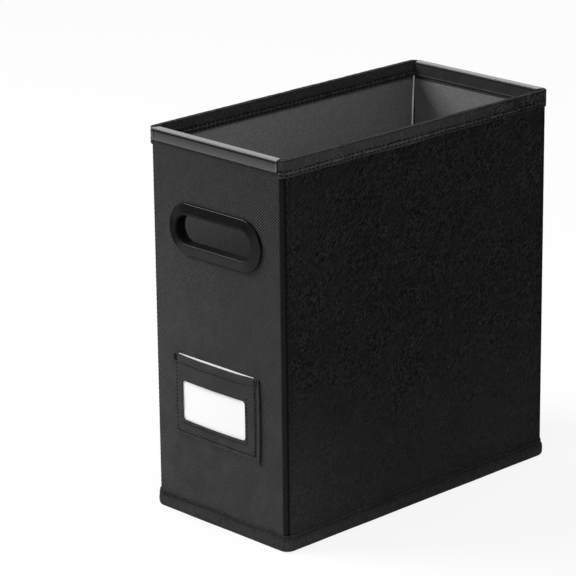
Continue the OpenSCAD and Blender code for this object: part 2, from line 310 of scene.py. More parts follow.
class Nodes:
    """Short way to wire a node tree."""

    def __init__(self, tree):
        self.tree = tree

    def add(self, kind, inputs=(), **settings):
        """A node with its settings, and its inputs fed by their names or numbers."""
        node = self.tree.nodes.new(kind)
        for key, value in settings.items():
            setattr(node, key, value)
        for key, source in dict(inputs).items():
            self.feed(source, node.inputs[key])
        return node

    def feed(self, source, socket):
        """Feeds a socket from a value or another socket, or sets it to a number."""
        if isinstance(source, Value):
            source = source.socket
        if isinstance(source, bpy.types.NodeSocket):
            self.tree.links.new(source, socket)
        else:
            socket.default_value = source

    def maths(self, operation, a, b=0.0):
        return Value(self, self.add("ShaderNodeMath", enumerate((a, b)), operation=operation).outputs[0])

    def largest(self, *values):
        """The largest of two or more values."""
        first, *others = values
        for other in others:
            first = self.maths("MAXIMUM", first, other)
        return first

    def split(self, vector):
        """The three values of a vector socket."""
        return [Value(self, part) for part in self.add("ShaderNodeSeparateXYZ", {0: vector}).outputs]

    def rays(self, *kinds):
        """1 for rays of that kind and 0 for others, for each kind."""
        outputs = self.add("ShaderNodeLightPath").outputs
        return [Value(self, outputs[kind]) for kind in kinds]


class Surface(Nodes):
    """Short way to wire a material of one principled shader."""

    def __init__(self, name):
        self.material = bpy.data.materials.new(name)
        self.material.use_nodes = True
        super().__init__(self.material.node_tree)
        self.shader = self.tree.nodes["Principled BSDF"]
        self.place = self.add("ShaderNodeTexCoord").outputs["Object"]

    def axes(self):
        """The three coordinates of a point on the piece, in metres."""
        return self.split(self.place)

    def facing(self, axis):
        """How squarely a face looks along an axis, 0 to 1. The three axes add up to 1."""
        normal = self.split(self.add("ShaderNodeNewGeometry").outputs["Normal"])
        return self.maths("POWER", abs(normal[axis]), 2.0)

    def noise(self, size_mm, detail, roughness, stretch=(1, 1, 1), turn=(0, 0, 0)):
        """Noise of about 0 to 1 whose swells are about size_mm across, stretched along turned axes."""
        rotation = [math.radians(t) for t in turn]
        inputs = {"Vector": self.place, "Scale": stretch, "Rotation": rotation}
        mapped = self.add("ShaderNodeMapping", inputs, vector_type="TEXTURE").outputs[0]
        inputs = {"Vector": mapped, "Scale": 1 / (size_mm * MM), "Detail": detail, "Roughness": roughness}
        return Value(self, self.add("ShaderNodeTexNoise", inputs).outputs["Fac"])

    def ramp(self, value, stops):
        """Colour ramp through (position, grey or colour) stops."""
        node = self.add("ShaderNodeValToRGB", {0: value})
        while len(node.color_ramp.elements) < len(stops):
            node.color_ramp.elements.new(0.5)
        for element, (position, colour) in zip(node.color_ramp.elements, stops):
            element.position = position
            element.color = (*np.broadcast_to(colour, 3), 1)
        return node.outputs["Color"]

    def bump(self, height, distance_mm, **below):
        """Relief, on top of another one where Normal is given."""
        inputs = {"Height": height, "Distance": distance_mm * MM, "Strength": 1.0, **below}
        return self.add("ShaderNodeBump", inputs).outputs[0]

    def paint(self, colour, roughness, normal, specular=0.5):
        """Feeds the shader, and returns the finished material."""
        names = ("Base Color", "Roughness", "Normal", "Specular IOR Level")
        for name, source in zip(names, (colour, roughness, normal, specular)):
            self.feed(source, self.shader.inputs[name])
        return self.material


# ---- fabrics ----

FABRIC_GLOSS = 0.04         # specular level of every fabric


def emboss_rows(n, pitch, slant):
    """Height of crossed rows, 0 along the lines and 1 on the pads between them.

    Slanted rows run at 45 degrees, and the others run upright and level. The rows of the three
    planes are summed by how far a face looks along each axis.
    """
    def row(along):
        return abs(n.maths("SINE", along * (math.pi / (pitch * MM))))

    x, y, z = n.axes()
    heights = []
    for axis, (u, v) in enumerate(((y, z), (x, z), (x, y))):
        first, second = (u + v, u - v) if slant else (u, v)
        heights.append(row(first) * row(second) * n.facing(axis))
    return heights[0] + heights[1] + heights[2]


def fabric(name, tone, pitch, depth, contrast, mottle=0.12, outside=False, painted_light_slope=0.0):
    """Embossed non-woven fabric: crossed rows, loose fibres and a mottled dye.

    Outside the box its rows are slanted and fade towards the upper left. There it has painted floor
    bounce, paler towards the foot and a little towards the left, and past the corner fold it is smoother
    and darker, still with painted floor bounce. With a painted light slope it is painted lighter towards the
    front and darker lower down.
    """
    n = Surface(name)
    x, y, z = n.axes()
    rows = emboss_rows(n, pitch, slant=outside)
    fibres = n.noise(0.8, 4, 0.7)
    patches = n.noise(16, 3, 0.55)
    blotches = n.noise(3.0, 3, 0.65)
    worn = n.noise(20, 3, 0.6).range(0.65, 1.30, 0.38, 0.62)
    if outside:
        slope = x - (z - 170 * MM) * 0.45
        past_fold = abs(x).over(0.0, 1.0, FLAT_W - 1.4, FLAT_W + 0.9)
        worn = worn * slope.over(0.05, 1.20, -120, 20) * past_fold.range(1.0, 0.6)
    shade = 1.0 + (rows - 0.4) * worn * contrast + (patches - 0.5) * (1.3 * mottle)
    shade = shade + (fibres - 0.5) * 0.5 + (blotches - 0.5) * (6.5 * mottle)
    if outside:
        # Painted floor bounce: paler towards the foot and a little towards the left.
        painted_foot_bounce = x.over(1.05, 0.97, -HALF_W, HALF_W) * z.over(1.34, 0.79, 30, 300)
        # Past the corner fold: darker, and painted paler towards the foot as floor bounce.
        past_fold_tone = past_fold.range(1.0, 0.30) * z.over(1.35, 0.9, 50, 300)
        shade = shade * (painted_foot_bounce * past_fold.range(1.0, 0.0) + past_fold_tone * past_fold)
    if painted_light_slope:
        # Painted light lighter towards the front, and painted shade darker lower down in the box.
        shade = shade * y.over(1 + painted_light_slope, 1 - painted_light_slope, -HALF_D, HALF_D) * z.over(0.45, 1.0, 190, 290)
    colour = n.ramp(shade * 0.5, [(0.15, tone * 0.3), (0.85, tone * 1.7)])
    relief = n.bump(fibres, 0.15, Normal=n.bump(rows * worn, depth))
    return n.paint(colour, fibres.range(0.80, 0.95), relief, FABRIC_GLOSS)


def crinkled_fabric(name, tone, size, depth, contrast, where):
    """Crinkled non-woven fabric: short steep creases over flecks, like the grain of leather.

    The factor from where(n) shades it by place, and calms its grain where that is above 1.
    """
    n = Surface(name)

    def creases(size_mm, stretch, turn, width):
        """Thin bright lines where the noise passes its middle."""
        return abs(n.noise(size_mm, 2, 0.6, stretch, turn) - 0.5).range(1.0, 0.0, 0.0, width)

    steep = creases(size, (1, 1, 2.6), (-42, 0, 0), 0.075)
    other = creases(size * 1.1, (1, 1.5, 1), (15, 0, 0), 0.06)
    flecks = n.noise(size * 0.5, 2, 0.7)
    grain = steep * 0.60 + other * 0.30 + flecks * 0.45
    patches = n.noise(34, 3, 0.55)
    strength = n.noise(15, 3, 0.6).range(0.30, 1.75, 0.38, 0.62)
    place = where(n)
    calm = place.range(1.1, 0.35, 1.0, 1.7)
    shade = 1.0 + (grain - 0.50) * contrast * strength * calm + (patches - 0.5) * 0.4
    shade = n.largest(shade, 0.3) * place
    colour = n.ramp(shade * 0.25, [(0.0, 0.0), (1.0, tone * 4)])
    return n.paint(colour, grain.range(0.75, 0.55, 0.35, 0.85), n.bump(grain, depth), FABRIC_GLOSS)


def painted_side_light(n):
    """Painted floor bounce, paler near the floor and palest at the side's front foot, with painted light
    towards the front of the sides, and darker over the band's sides.
    """
    _, y, z = n.axes()
    sideways = n.facing(0)
    up = z + (n.noise(50, 2, 0.5) - 0.5) * (60 * MM)
    # Painted light: floor bounce low down, at the side's front foot, and towards the front of the side higher
    # up.
    floor_bounce = up.over(0.60, 0.0, 30, 170)
    pale_painted_light = up.over(1.1, 0.0, 20, 160) * y.over(1.0, 0.0, -160, -30) * sideways
    front = y.over(0.50, 0.0, -160, -70) * z.over(0.4, 1.0, 140, 260) * sideways
    low_middle = up.over(0.34, 0.0, 30, 130) * sideways
    on_band = z.over(1.0, 0.0, BAND_TOP - 1, BAND_TOP + 1) * sideways
    return (1.0 + front + low_middle + floor_bounce + pale_painted_light) * on_band.range(1.0, 0.68)


def band_light_and_streaks(n):
    """Painted shade along the band's sewn lip and painted light on its padded face, streaked upright, over
    the sides' painted light.
    """
    sway = (n.noise(14, 2, 0.5) - 0.5) * (4 * MM)
    # Painted shade along the lip, painted light below it.
    lip = (n.axes()[2] + sway).over(0.0, 1.0, BAND_TOP - 7.5, BAND_TOP - 3.5)
    streaks = n.noise(1.6, 2, 0.6, stretch=(1, 1, 6)).range(0.82, 1.18, 0.35, 0.65)
    return painted_side_light(n) * lip.range(1.10, 0.80) * streaks


def binding_light_and_marks(n):
    """Painted shade along its top fold and its lower stitch row, and painted light on the leaf inside the box
    and towards the front.

    Dark dots follow the upper row, and painted highlights stand on the puffs between the two rows.
    """
    x, y, z = n.axes()
    middle = (HALF_W + ROOM_W) / 2
    # Painted light: lighter on the leaf inside the box and towards the front.
    leaf = n.largest(abs(x).over(1.9, 0.0, middle - 0.3, middle + 0.3), y.over(1.95, 1.0, -10, 130))
    # Painted shade along the top fold.
    crown = z.over(1.0, 0.42, TOP - 1.3, TOP - 0.6)
    # Stitch rows; the lower row is painted dark as a line of shade.
    upper, lower = (z.between(TOP - row - 0.5, TOP - row + 0.5) for row in HEM_ROWS)
    dots = n.noise(2.6, 1, 0.5).range(0.25, 1.25, 0.40, 0.60)
    # Painted highlights on the puckers between the two rows.
    mid = z.between(TOP - HEM_ROWS[1] + 0.9, TOP - HEM_ROWS[0] - 0.9, 0.3)
    puffs = n.noise(3.2, 1, 0.5).range(0.9, 1.9, 0.40, 0.60)
    return leaf * crown * upper.swap(dots) * lower.range(1.0, 0.72) * mid.swap(puffs)


END_FABRIC = fabric("end_fabric", tone=0.0385, pitch=2.7, depth=0.4, contrast=2.4, outside=True)
# The side fabric is darker than the end fabric, partly its own tone and partly painted shade of the long
# sides.
SIDE_FABRIC = crinkled_fabric("side_fabric", tone=0.0102, size=2.6, depth=0.7, contrast=2.5, where=painted_side_light)
LINING_FABRIC = fabric("lining_fabric", tone=0.207, pitch=1.9, depth=0.14, contrast=0.30, mottle=0.11,
                       painted_light_slope=0.31)
BINDING_FABRIC = crinkled_fabric("binding_fabric", tone=0.023, size=2.0, depth=0.5, contrast=2.2,
                                 where=binding_light_and_marks)
BAND_FABRIC = crinkled_fabric("band_fabric", tone=0.0200, size=1.6, depth=0.4, contrast=1.0, where=band_light_and_streaks)
PIPING_FABRIC = fabric("piping_fabric", tone=0.88, pitch=1.0, depth=0.08, contrast=0.15)


# ---- other materials ----

def flecked(name, noise, stops, roughness, relief, specular=0.5, stretch=(1, 1, 1)):
    """Material whose flecks vary its colour, its roughness and its relief."""
    n = Surface(name)
    flecks = n.noise(*noise, stretch)
    return n.paint(n.ramp(flecks, stops), flecks.range(*roughness), n.bump(flecks, relief), specular)


def thread_material(name, tone):
    """Twisted sewing thread."""
    stops = [(0.3, tone * 0.7), (0.7, tone * 1.3)]
    return flecked(name, (0.35, 2, 0.5), stops, (0.45, 0.65), 0.1, specular=0.05)


def card_material():
    """White card with faint pulp fibres."""
    stops = [(0.3, (0.91, 0.91, 0.905)), (0.7, (0.95, 0.95, 0.945))]
    return flecked("card", (1.5, 5, 0.7), stops, (0.55, 0.75), 0.02)


def board_material():
    """Recycled greyboard with dark and pale flecks."""
    stops = [(0.3, (0.17, 0.155, 0.13)), (0.55, (0.25, 0.23, 0.20)), (0.8, (0.34, 0.32, 0.28))]
    return flecked("greyboard", (2.5, 6, 0.75), stops, (0.85, 0.95), 0.08, stretch=(1, 1, 1.7))


def film_material():
    """Clear film that shows little but its gloss."""
    film = flecked("clear_film", (18, 2, 0.4), [(0.3, 0.06), (0.7, 0.09)], (0.05, 0.09), 0.05)
    film.node_tree.nodes["Principled BSDF"].inputs["Alpha"].default_value = 0.04
    return film


def rail_plastic():
    """Satin grey extrusion: drawing lines, painted shade in its groove, painted highlights on its lip and
    ends.
    """
    n = Surface("rail_plastic")
    lines = n.noise(1.2, 3, 0.5, stretch=(100, 1, 1))
    scuffs = n.noise(9, 4, 0.6)
    x, y, up = n.axes()
    foot, top, end = low("front_rail")[2], high("front_rail")[2], high("front_rail")[0]
    # Its groove is painted dark as shade, and made rougher.
    groove = up.between(top - 2.9, top - 1.2)
    # Painted highlights: its foot lip and its ends are painted pale, broken up by scuffs.
    pale_painted_light = n.largest(up.between(foot - 3.5, foot + 1.1), abs(x).between(end - 1.3, end + 1))
    pale_painted_light = pale_painted_light * scuffs.range(0.6, 1.3, 0.3, 0.7)
    # Painted light on the outer flange, lighter towards its lower lip, and painted shade just under the top.
    lip = abs(y).over(0.0, 1.0, HALF_D - 1, HALF_D) * up.over(0.037, -0.010, top - 10.5, top - 4)
    lip = lip * up.over(1.0, 0.0, top - 2.6, top - 2.0)
    tone = (scuffs.range(0.020, 0.028, 0.3, 0.7) + lip + pale_painted_light * 0.055) * groove.range(1.0, 0.15)
    gloss = (lines * 0.5 + scuffs * 0.5).range(0.33, 0.39, 0.3, 0.7)
    return n.paint(n.ramp(tone, [(0.0, 0.0), (1.0, 1.0)]), gloss + groove * 0.6, n.bump(lines, 0.008))


def handle_plastic():
    """Glossy black moulding, with a little sink and haze.

    It is duller at its left end, and rougher round the lip of its hole.
    """
    n = Surface("handle_plastic")
    sink = n.noise(12, 2, 0.4)
    haze = n.noise(3, 4, 0.65)
    x, _, z = n.axes()
    across = n.largest(abs(x) - HANDLE_SPINE * MM, 0.0)
    up = z - HANDLE_Z * MM
    reach = n.maths("SQRT", across * across + up * up)
    lip = reach.over(1.0, 0.0, CUT_R - 0.2, CUT_R + 1.2)
    colour = n.ramp(haze, [(0.3, 0.003), (0.7, 0.005)])
    roughness = haze.range(0.17, 0.25, 0.3, 0.7) + lip * 0.25
    specular = x.over(0.055, 0.15, BEZEL_LOW[0] + 7, BEZEL_LOW[0] + 24)
    return n.paint(colour, roughness, n.bump(sink, 0.05), specular)


THREAD = thread_material("thread", tone=0.003)
BAND_THREAD = thread_material("band_thread", tone=0.014)


# ---- walls ----

# Past the flat of the end cover its fabric folds sharply and runs down into the seam, where the
# edge of the side cover stands a little proud. Points are (across, back) from where the flat ends.
FOLD = np.array([(0, 0), (0.25, 0.02), (0.5, 0.14), (0.8, 0.40), (1.6, 1.15), (2.5, 2.00), (3.15, 2.60),
                 (3.35, 2.95), (3.3, 3.7)])
FOLD_REACH = distance_along(FOLD)
FOLD_LEN = FOLD_REACH[-1]
SIDE_START = math.radians(70)       # where the side cover starts, round the corner from the front


def on_fold(past):
    """Place on the fold, at a distance past the flat."""
    return np.array([np.interp(past, FOLD_REACH, axis) for axis in FOLD.T])


def round_end(u):
    """Place and outward direction on the end cover, u along it from the middle of the front."""
    past = np.clip(np.abs(u) - FLAT_W, 0, None)
    side = np.sign(u)
    across, back = on_fold(past)
    run, dip = np.where(past > 0, on_fold(past + 0.15) - on_fold(past - 0.15), [[1.0], [0.0]])
    long = np.hypot(run, dip)
    x = side * (np.minimum(np.abs(u), FLAT_W) + across)
    return points_at(x, -HALF_D + back), points_at(side * dip / long, -run / long)


def round_side(u):
    """Place and outward direction on the side cover, u along it from the middle of the side."""
    angle = np.clip(np.abs(u) - FLAT_D, 0, None) / CORNER_R
    x = FLAT_W + CORNER_R * np.cos(angle)
    y = np.sign(u) * (np.minimum(np.abs(u), FLAT_D) + CORNER_R * np.sin(angle))
    return points_at(x, y), points_at(np.cos(angle), np.sign(u) * np.sin(angle))


def cut_handle(u, z, faces):
    """Opens the wall for the handle, with the cut edge drawn onto a clean oblong."""
    inside = oblong(u, z) < CUT_R
    kept = [f for f in faces if not any(inside[p] for p in f)]
    dropped = np.unique([p for f in faces if any(inside[q] for q in f) for p in f])
    edge = np.intersect1d(dropped, np.unique(kept))
    centre = np.clip(u[edge], -HANDLE_SPINE, HANDLE_SPINE)
    scale = CUT_R / oblong(u[edge], z[edge])
    u[edge] = centre + (u[edge] - centre) * scale
    z[edge] = HANDLE_Z + (z[edge] - HANDLE_Z) * scale
    return kept


def wall_grid(us, top, rows):
    """Lists of u and z over a wall, each column from the foot up to its own top, and the faces."""
    share = np.linspace(0, 1, rows)
    tops = np.broadcast_to(top, len(us))
    z = FOOT + (tops[:, None] - FOOT) * share
    return np.repeat(us, rows), z.reshape(-1), grid_faces(len(us), rows)


def wall_sheet(name, turned, outer, inner, faces, material, flat, area=None):
    """One face of a wall, stretched over its board. Flat is (width, height) in millimetres, and is not used.
    """
    piece = make_piece(name, *shell(outer, inner, faces), material, [name], turned)
    board = name.split("_")[0] + "_board"
    flat[0] * MM
    flat[1] * MM


def end_cover(name, turned, seed):
    """Cover of a short end, folded round both corners and tucked into the side seams."""
    bend = FLAT_W + np.concatenate([FOLD_REACH[1:4], np.linspace(FOLD_REACH[4], FOLD_LEN, 9)])
    us = np.concatenate([-bend[::-1], np.linspace(-FLAT_W, FLAT_W, 100), bend])
    u, z, faces = wall_grid(us, np.where(np.abs(us) > FLAT_W, SIDE_TOP, END_TOP), 190)
    faces = cut_handle(u, z, faces)
    place, out = round_end(u)
    edge = FLAT_W + FOLD_LEN - np.abs(u)
    sink = 0.10 + 0.10 * waves(u, z, 60, seed) + 0.06 * waves(u, z, 14, seed + 9)
    sink = np.clip(sink, 0, 0.28) * smooth(oblong(u, z), HANDLE_R, HANDLE_R + 12)
    sink = sink * smooth(FLAT_W - np.abs(u), 0, 8)
    if not turned:
        sink = sink * off_pocket(u, z)
    sink = sink + 0.10 * pucker(z) * smooth(1.6 - edge, 0, 1.6)
    outer = at_height(place - out * sink[:, None], z)
    inner = at_height(place - out * COVER_T, z)
    hole = 4 * HANDLE_SPINE * CUT_R + math.pi * CUT_R ** 2
    width, height = 2 * (FLAT_W + FOLD_LEN), SIDE_TOP - FOOT
    wall_sheet(name, turned, outer, inner, faces, END_FABRIC, (width, height),
               area=(width * height - hole) * MM * MM)


def off_pocket(u, z):
    """0 behind the label pocket and over the way of its card, 1 away from them."""
    margin = 6
    dx = np.maximum(POCKET_LOW[0] - u, u - POCKET_HIGH[0])
    dz = np.maximum(POCKET_LOW[2] - z, z - POCKET_HIGH[2])
    return smooth(np.maximum(dx, dz), 0, margin)


def side_cover(name, turned, seed):
    """Cover of a long side, crinkled, its upright edges rolled into the corner seams."""
    reach = FLAT_D + CORNER_R * (math.pi / 2 - SIDE_START)
    inset = np.array([0, 0.25, 0.5, 0.8, 1.1, 1.5, 1.9, 2.5, 3.2, 4.3])
    us = np.concatenate([-reach + inset, np.linspace(-reach + 6, reach - 6, 150), (reach - inset)[::-1]])
    u, z, faces = wall_grid(us, SIDE_TOP, 190)
    place, out = round_side(u)
    edge = reach - np.abs(u)
    free = smooth(edge, 1, 12) * smooth(z, BAND_TOP - 4, BAND_TOP + 14) * smooth(HEM_FOOT + 4 - z, 0, 14)
    rise = 0.20 * crinkle(u, z, 26, seed) + 0.13 * crinkle(u, z, 11, seed + 5)
    rise = (rise + 0.22 * waves(u, z, 90, seed + 7)) * free
    rim = 0.44 + 0.06 * pucker(z) + 0.06 * waves(z, z, 9, seed)
    rise = rise + rim * ridge(edge - 1.3, 0.8)
    rise = rise - 0.9 * ridge(edge, 0.35) - 0.35 * ridge(edge - 3.0, 0.6)
    thickness = COVER_T + 0.5 * ridge(edge, 0.35)
    outer = at_height(place + out * rise[:, None], z)
    inner = at_height(place - out * thickness[:, None], z)
    wall_sheet(name, turned, outer, inner, faces, SIDE_FABRIC, (2 * reach, SIDE_TOP - FOOT))


def end_lining(name, turned, seed):
    """Lining of a short end, with a soft crease fanning down from each upper corner."""
    u, z, faces = wall_grid(np.linspace(-ROOM_W, ROOM_W, 90), END_TOP, 150)
    faces = cut_handle(u, z, faces)
    rise = 0.12 * waves(u, z, 45, seed) + 0.12
    for side in (-1, 1):
        run = ROOM_W + side * u
        below_crease = HEM_FOOT - z - run * 0.85
        crease = ridge(below_crease, 3.5 + 0.16 * run)
        rise = rise + 0.75 * crease * smooth(run, 1, 8) * smooth(46 - run, 0, 34)
    rise = np.clip(rise, -0.1, 1.6) * smooth(oblong(u, z), HANDLE_R, HANDLE_R + 10)
    rise = rise * smooth(END_TOP - 8 - z, 0, 8)
    outer = points_at(u, -ROOM_D + rise, z)
    inner = points_at(u, -ROOM_D - LINING_T, z)
    wall_sheet(name, turned, outer, inner, faces, LINING_FABRIC, (2 * ROOM_W, END_TOP - FOOT))


def side_lining(name, turned, seed):
    """Lining of a long side."""
    half = ROOM_D + LINING_T
    u, z, faces = wall_grid(np.linspace(-half, half, 130), SIDE_TOP, 130)
    rise = 0.15 + 0.15 * waves(u, z, 70, seed) + 0.05 * waves(u, z, 16, seed + 3)
    rise = np.clip(rise, 0, 0.4) * smooth(HEM_FOOT - z, 0, 8) * smooth(half - np.abs(u), 1, 10)
    outer = points_at(ROOM_W - rise, u, z)
    inner = points_at(ROOM_W + LINING_T, u, z)
    wall_sheet(name, turned, outer, inner, faces, LINING_FABRIC, (2 * half, SIDE_TOP - FOOT))


# ---- upright corners ----

def corner_seam(name, x, y):
    """Seam allowance, pleated together in the corner between two boards."""
    reach, pleat, heel = 2.9, 1.2, 0.3
    turn = np.radians(np.linspace(0, 90, 49))
    arc = points_at(np.cos(turn), np.sin(turn)) * (reach - pleat * np.abs(np.sin(turn * 10)))[:, None]
    section = np.concatenate([arc, [[heel, heel]]])
    z = np.linspace(FOOT, SIDE_TOP, 60)[:, None]
    ease = 1 - 0.02 * (1 + np.sin(z / 7))
    rings = points_at(x * (FLAT_W + section[:, 0] * ease), y * (FLAT_D + section[:, 1] * ease), z)
    piece = make_piece(name, *tube_of_sections(rings), BINDING_FABRIC, [name])


def seam_thread(name, x, y):
    """Row of stitches sunk in the groove of an upright seam, thick and dark enough to also paint the groove's
    shade.
    """
    z = np.linspace(BAND_TOP - 4, HEM_FOOT + 1, 60)
    row = points_at(x * (FLAT_W + 3.6), y * (FLAT_D + 1.45), z)
    out = points_at(x * 0.72, y * 0.69, 0 * z)
    stitches(name, [(row, out)], r=0.48, pitch=4.0, length=3.9)


def corner_piping(name, x, y):
    """Pale piping in each upright inner corner, up to the hems."""
    r = 0.75
    wander = 3.2
    z = np.linspace(FOOT + 0.2, HEM_FOOT + 1, 120)[:, None]
    turn = full_turn(8)
    grown = r * (1 + 0.10 * np.sin(z * 2.1) + 0.06 * np.sin(z * 0.37))
    off = wander * (1 - np.exp((z - HEM_FOOT) / 40))
    rings = points_at(x * (ROOM_W - r) + grown * np.cos(turn),
                      y * (ROOM_D - r - off) + grown * np.sin(turn), z)
    make_piece(name, *tube_of_sections(rings), PIPING_FABRIC)


# ---- stitches ----

# One stitch: places along it and heights above the fabric, as shares of its length and radius.
STITCH_ALONG = np.array([-0.5, -0.32, 0, 0.32, 0.5])
STITCH_LIFT = np.array([-0.35, 0.55, 0.85, 0.55, -0.35])
STITCH_GIRTH = np.array([0.45, 0.95, 1, 0.95, 0.45])


def stitches(name, rows, r, pitch=STITCH_PITCH, length=STITCH_LEN, material=THREAD):
    """Rows of short arched threads. A row is (points, outward directions) along a path."""
    turn = full_turn(6)[:, None]
    points, faces = [], []
    for path, outward in rows:
        reach = distance_along(path)
        count = max(1, int(reach[-1] // pitch))
        for k in range(count):
            middle = (k + 0.5) * reach[-1] / count
            centre = sample(path, reach, middle)
            ahead = unit(sample(path, reach, middle + 0.4) - sample(path, reach, middle - 0.4))
            out = sample(outward, reach, middle)
            out = unit(out - ahead * (out @ ahead))
            around = np.cos(turn) * out + np.sin(turn) * np.cross(ahead, out)
            rings = [centre + ahead * a * length + out * h * r + around * g * r
                     for a, h, g in zip(STITCH_ALONG, STITCH_LIFT, STITCH_GIRTH)]
            thread, skin = tube_of_sections(np.array(rings))
            faces += [tuple(len(points) * len(thread) + p for p in f) for f in skin]
            points.append(thread)
    make_piece(name, np.concatenate(points), faces, material, sharp=70)


def unit(vector):
    return vector / np.linalg.norm(vector)


def sample(values, reach, at):
    """Point or direction of a path at a distance along it."""
    return np.array([np.interp(at, reach, axis) for axis in values.T])


# ---- hems along the top ----

# The folded top of a side hem: how far below its crown, and the share of the way inside.
CROWN = np.array([(0.72, 0), (0.18, 0), (0, 0.1), (0, 0.3), (0, 0.5), (0, 0.7), (0, 0.9), (0.18, 1),
                  (0.72, 1)])


def hem_path():
    """Outer edge, outward direction and inner edge of the right hem, from rail to rail."""
    turn = np.radians(np.linspace(0, 90, 9))
    ys = np.linspace(-FLAT_D, FLAT_D, 186)[1:-1]
    ramp = np.linspace(FLAT_W, ROOM_W - HEM_T, len(turn))
    flip = np.array([1, -1])
    front_out = points_at(np.sin(turn), -np.cos(turn))
    front = (FLAT_W, -FLAT_D) + (CORNER_R + HEM_T) * front_out
    outer = np.concatenate([front, points_at(HALF_W + HEM_T, ys), (front * flip)[::-1]])
    out = np.concatenate([front_out, points_at(1.0, 0 * ys), (front_out * flip)[::-1]])
    inner_x = np.concatenate([ramp, np.full(len(ys), ROOM_W - HEM_T), ramp[::-1]])
    return outer, out, points_at(inner_x, np.clip(outer[:, 1], -ROOM_D, ROOM_D))


def side_hem(name, turned, seed):
    """Binding folded over a long side, puckered along its two rows of stitches."""
    outer, out, inner = (line[:, None] for line in hem_path())
    reach = distance_along(outer[:, 0])
    s = reach[:, None]
    drop = np.array([TOP - HEM_FOOT, 13.9, 13.3, 12.7, 12.1, 11.3, 10.4, 9.9, 9.3, 8.7, 8.0, 6.5, 5, 3.6,
                     2.4, 1.4])
    levels = TOP - drop
    row_dip = sum(ridge(drop - row, 0.7) for row in HEM_ROWS)

    swell = 0.30 * waves(s, levels, 7, seed) + 0.25 * waves(s, levels, 34, seed + 1)
    swell = swell + 0.20 * ridge(drop - 6, 3) + (0.15 + 0.45 * pucker(s)) * ridge(drop - 11, 1.2)
    ease = 0.25 + 0.75 * smooth(np.minimum(s, reach[-1] - s), 9, 18)
    bump = np.clip(0.30 + swell, 0, 1.1) * ease - row_dip * (0.60 - 0.45 * pucker(s))
    sag = np.where(drop > drop[4], 0.55 * waves(s, 0, 45, seed + 2), 0)
    inner_bump = np.clip(0.10 + 0.12 * waves(s, levels, 20, seed + 4), 0, 0.28)
    inner_bump = inner_bump - row_dip * (0.2 + 0.2 * pucker(s))

    down, share = CROWN.T
    rise = np.where(down == 0, 0.10 * waves(s, 3, 12, seed + 3), 0)
    under = np.array([HEM_FOOT, TOP - HEM_ROWS[0], TOP - HEM_T - 0.1])

    def strip(place, push, z):
        """A strip of the section at every station, pushed outwards."""
        return at_height(place + out * np.atleast_2d(push)[..., None], z)

    rings = np.concatenate([
        strip(outer, bump, levels + sag),
        strip(outer + (inner - outer) * share[:, None], bump[:, -1:] * (1 - share), TOP - 0.1 - down + rise),
        strip(inner, -inner_bump[:, ::-1], levels[::-1]),
        strip(inner, HEM_T, under),
        strip(outer, -HEM_T, under[::-1]),
    ], axis=1)
    piece = make_piece(name, *tube_of_sections(rings), BINDING_FABRIC, [name], turned)
    width = 2 * (TOP - HEM_FOOT) + (HALF_W - ROOM_W) + 2 * HEM_T
    width * MM


def hem_stitches(name, turned):
    """Both rows of thread, outside and inside."""
    outer, out, inner = hem_path()
    inside = np.abs(inner[:, 1]) < ROOM_D - 2
    rows = []
    for row in HEM_ROWS:
        rows.append((at_height(outer - out * 0.05, TOP - row), at_height(out, 0)))
        rows.append((at_height(inner[inside], TOP - row), at_height(-out[inside], 0)))
    if turned:
        rows = [(half_turn(path), half_turn(outward)) for path, outward in rows]
    stitches(name, rows, r=0.46)


def end_hem(name, turned, seed):
    """Binding over a short end, held under the rail."""
    outside, inside = low("front_hem")[1], high("front_hem")[1]
    inner_foot, top = low("front_hem")[2], high("front_hem")[2]
    outer_foot = top - 8.2
    t = HEM_T
    r = 0.35
    section = np.array([
        (outside, outer_foot), (outside, outer_foot + 3), (outside, top - 2), (outside, top - r),
        (outside + r, top), (outside + 2, top), (inside - 2, top), (inside - r, top), (inside, top - r),
        (inside, top - 3), (inside, top - 6), (inside, top - 9), (inside, inner_foot + 3.6),
        (inside, inner_foot + 2.4), (inside, inner_foot + 1.2), (inside, inner_foot),
        (inside - t, inner_foot), (inside - t, top - 6), (inside - t, top - t),
        (outside + t, top - t), (outside + t, outer_foot),
    ])
    y, z = section.T
    share = np.linspace(-1, 1, 110)[:, None]
    x = share * np.where(y > inside - t - 0.1, ROOM_W - HEM_T, FLAT_W)
    shown = (z < inner_foot + 3) & (y > inside - t / 2)
    slack = np.where(shown, 0.12 + 0.12 * waves(x, z, 15, seed), 0)
    points, faces = tube_of_sections(points_at(x, y + slack, z))
    piece = make_piece(name, points, faces, BINDING_FABRIC, [name], turned)
    2 * FLAT_W * MM


# ---- label pocket ----

def corner_loop(lo, hi, r, counts):
    """Loop round an upright rectangle with round corners, as lists of x and z."""
    points, _ = rounded_rect(*(hi - lo) / 2, r, *counts)
    return (points + (lo + hi) / 2).T


def pocket_edge(x, z):
    """Distance from the pocket's three sewn edges."""
    return np.minimum(np.minimum(x - POCKET_LOW[0], POCKET_HIGH[0] - x), z - POCKET_LOW[2])


